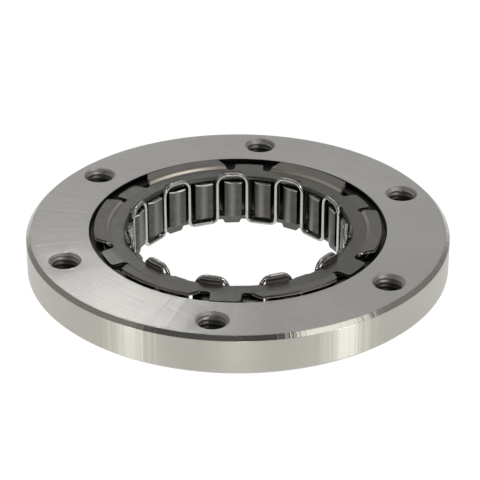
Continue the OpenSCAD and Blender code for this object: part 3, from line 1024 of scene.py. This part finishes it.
def drawn_wire():
    material, tree = new_material("drawn_wire")
    place = add_node(tree, "ShaderNodeTexCoord").outputs["Object"]
    scuffs = add_node(tree, "ShaderNodeTexNoise", inputs={
        "Scale": 1 / WIRE_SCUFF, "Detail": 4, "Roughness": 0.7,
    }, links={"Vector": place})
    colour, roughness = two_tones(tree, scuffs, WIRE_COLOURS, (0.22, 0.27))
    shader = add_node(tree, "ShaderNodeBsdfPrincipled", inputs={"Metallic": 1}, links={
        "Base Color": colour, "Roughness": roughness,
    })
    add_node(tree, "ShaderNodeOutputMaterial", links={"Surface": shader})
    return material


wire_steel = drawn_wire()
wire_tree, wire_entry = group_tree("zigzag_wire", {
    "Count": "NodeSocketInt", "Phase": "NodeSocketFloat", "Radius": "NodeSocketFloat",
})
turns = round_the_axis(wire_tree, wire_entry, wire_entry.outputs["Geometry"])
turns_real = add_node(wire_tree, "GeometryNodeRealizeInstances", links={"Geometry": turns})
turns_joined = add_node(wire_tree, "GeometryNodeMergeByDistance", inputs={
    "Distance": 0.01 * MM,
}, links={"Geometry": turns_real})
wire_line = add_node(wire_tree, "GeometryNodeMeshToCurve", links={"Mesh": turns_joined})
wire_round = add_node(wire_tree, "GeometryNodeCurvePrimitiveCircle", inputs={
    "Resolution": WIRE_SIDES,
}, links={"Radius": wire_entry.outputs["Radius"]})
wire_tube = add_node(wire_tree, "GeometryNodeCurveToMesh", links={
    "Curve": wire_line, "Profile Curve": wire_round,
})
finish_tree(wire_tree, wire_tube, wire_steel)
spring_mesh = grown("energizing_spring_wire", spring_turn(), wire_tree, {
    "Count": SPRAGS // 2, "Phase": math.radians(SPRAG_PHASE), "Radius": WIRE_R * MM,
})
soften(spring_mesh)
add_piece(
    "energizing_spring_wire", spring_mesh, wire_steel, "cage", "energizing_spring"
)


# Sprags
# Struts cut from a drawn bar of bearing steel, through-hardened and tumbled. The pad that grips the
# hub and the head that grips the raceway are cam curves; the waist lies in the cage's window.
PIVOT_R = 33.045
SPRAG_LOW = 3.2
SPRAG_HIGH = 14.3
PAD_R = 28.72
HEAD_R = 37.13
PAD_CAM = (6.0, 1.35)
HEAD_CAM = (6.5, 1.0)
PAD_W = 6.0
HEAD_W = 7.8
WAIST_R = 2.6
WAIST_DEPTH = 0.8
WAIST_TAPER = 1.2
BEVEL = 0.4
RAYS = 144
# The outline is found by halving the way from the pivot to a point outside the section
FARTHEST = 7.0
HALVINGS = 22
EASINGS = 2


def in_sprag(x, y, bevel):
    """Whether a point, measured from the pivot with y outwards, lies in a sprag's section."""
    pad_y = math.sqrt((PAD_R + PAD_CAM[0]) ** 2 - PAD_CAM[1] ** 2) - PIVOT_R
    head_y = math.sqrt((HEAD_R - HEAD_CAM[0]) ** 2 - HEAD_CAM[1] ** 2) - PIVOT_R
    waist_y = WALL_R + SHEET - PIVOT_R
    waist_x = PAD_W / 2 - WAIST_DEPTH + WAIST_R
    share = min(1, max(0, (y - waist_y) / WAIST_TAPER))
    radius = math.hypot(x, y + PIVOT_R)
    return (
        math.hypot(x - PAD_CAM[1], y - pad_y) < PAD_CAM[0]
        and math.hypot(x + HEAD_CAM[1], y - head_y) < HEAD_CAM[0]
        and abs(x) < (PAD_W + share * (HEAD_W - PAD_W)) / 2
        and math.hypot(abs(x) - waist_x, y - waist_y) > WAIST_R
        and PAD_R + bevel < radius < HEAD_R - bevel
    )


def sprag_outline(bevel):
    """The section's outline, found along rays from the pivot and eased at its corners."""
    outline = []
    for k in range(RAYS):
        angle = 2 * math.pi * k / RAYS
        near, far = 0.0, FARTHEST
        for _ in range(HALVINGS):
            middle = (near + far) / 2
            x, y = middle * math.cos(angle), middle * math.sin(angle)
            near, far = (middle, far) if in_sprag(x, y, bevel) else (near, middle)
        outline.append(Vector((near * math.cos(angle), near * math.sin(angle))))
    for _ in range(EASINGS):
        outline = [
            (outline[k - 1] + 2 * p + outline[(k + 1) % RAYS]) / 4 for k, p in enumerate(outline)
        ]
    return outline


# Height over the sprag's end and how far the bevel has drawn the outline in there
BEVEL_ROWS = [
    (0, BEVEL), (0.05, BEVEL - 0.02), (0.2, BEVEL / 2), (BEVEL - 0.04, 0.03), (BEVEL + 0.06, 0),
]
# What the attribute across holds off the pad, in mm: too far away for the painted highlight
NO_PAD = 9


def sprag_mesh(name, angle):
    """One sprag, with an attribute that counts the mm from the middle of its pad."""
    length = SPRAG_HIGH - SPRAG_LOW
    rows = BEVEL_ROWS + [(length - h, bevel) for h, bevel in reversed(BEVEL_ROWS)]
    points = []
    for h, bevel in rows:
        for p in sprag_outlines[bevel]:
            x, y = p.x, p.y + PIVOT_R
            points.append(Matrix.Rotation(angle, 3, "Z") @ Vector((y, -x, SPRAG_LOW + h)))
    ends = [tuple(range(RAYS)), tuple(range(len(points) - RAYS, len(points)))]
    faces = band_faces(len(rows) - 1, RAYS) + ends
    mesh = mesh_of(name, points, faces)
    soften(mesh)
    across = mesh.attributes.new("across", "FLOAT", "POINT")
    for vertex, value in zip(mesh.vertices, across.data):
        x, y = vertex.co.x / MM, vertex.co.y / MM
        off = math.remainder(math.atan2(y, x) - angle, 2 * math.pi)
        value.value = PIVOT_R * off if math.hypot(x, y) < PIVOT_R else NO_PAD
    return mesh


# Tumbled bar steel: dark grey satin with fine marks along the bar, and painted highlights down the
# pad and along the upper edge
# Coarser than real drawing marks, which are too fine to show
BAR_MARK = 0.35 * MM
TUMBLING = 1.8 * MM
# The pad's and the edge's light colours are painted highlights, and the depths' colour is painted
# shade
SPRAG_COLOURS = {
    "skin": ("#4e4d4a", "#5c5b57"), "pad_highlight": "#7b7a75", "edge": "#e2e0db", "hollow_shade": "#141413",
}


def tumbled_steel():
    material, tree = new_material("tumbled_steel")
    place = add_node(tree, "ShaderNodeTexCoord").outputs["Object"]
    stretched = add_node(tree, "ShaderNodeVectorMath", MULTIPLY, {1: (1, 1, 0.08)}, {0: place})
    drawn = add_node(tree, "ShaderNodeTexNoise", inputs={
        "Scale": 1 / BAR_MARK, "Detail": 4, "Roughness": 0.65,
    }, links={"Vector": stretched})
    tumbled = add_node(tree, "ShaderNodeTexNoise", inputs={
        "Scale": 1 / TUMBLING, "Detail": 4, "Roughness": 0.6,
    }, links={"Vector": place})
    colour, roughness = two_tones(tree, tumbled, SPRAG_COLOURS["skin"], (0.31, 0.37))

    # A ragged painted highlight runs down the middle of the pad
    across = add_node(tree, "ShaderNodeAttribute", {"attribute_name": "across"})
    ragged = add_node(tree, "ShaderNodeMath", MULTIPLY_ADD, {1: 1.2}, {
        0: drawn, 2: across.outputs["Fac"],
    })
    centred = add_node(tree, "ShaderNodeMath", {"operation": "SUBTRACT"}, {1: 0.6}, {0: ragged})
    off_line = add_node(tree, "ShaderNodeMath", {"operation": "ABSOLUTE"}, links={0: centred})
    beside = add_node(tree, "ShaderNodeMapRange", inputs={1: 0.1, 2: 1.4}, links={0: off_line})
    colour = add_node(tree, "ShaderNodeMix", COLOURS, {6: SPRAG_COLOURS["pad_highlight"]}, {
        0: beside, 7: colour,
    }).outputs[2]

    # A painted highlight lightens the upper edge
    height = add_node(tree, "ShaderNodeSeparateXYZ", links={0: place}).outputs["Z"]
    edge_highlight = height_band(
        tree, height, (SPRAG_HIGH - 0.5, SPRAG_HIGH - 0.3), (SPRAG_HIGH - 0.1, SPRAG_HIGH - 0.02),
        0.95,
    )
    colour = add_node(tree, "ShaderNodeMix", COLOURS, {7: SPRAG_COLOURS["edge"]}, {
        0: edge_highlight, 6: colour,
    }).outputs[2]
    # Painted shade where other steel stands close
    colour = painted_shade_in_hollows(tree, colour, 4 * MM, SPRAG_COLOURS["hollow_shade"])

    bump = add_node(tree, "ShaderNodeBump", inputs={
        "Strength": 0.25, "Distance": 0.02 * MM,
    }, links={"Height": drawn})
    shader = add_node(tree, "ShaderNodeBsdfPrincipled", inputs={"Metallic": 1}, links={
        "Base Color": colour, "Roughness": roughness, "Normal": bump,
    })
    add_node(tree, "ShaderNodeOutputMaterial", links={"Surface": shader})
    return material


sprag_steel = tumbled_steel()
sprag_outlines = {bevel: sprag_outline(bevel) for _, bevel in BEVEL_ROWS}
for number in range(1, SPRAGS + 1):
    node = f"sprag_{number:02d}"
    piece = node + "_steel"
    angle = math.radians(SPRAG_PHASE) + (number - 1) * PITCH
    add_piece(piece, sprag_mesh(piece, angle), sprag_steel, node, node)
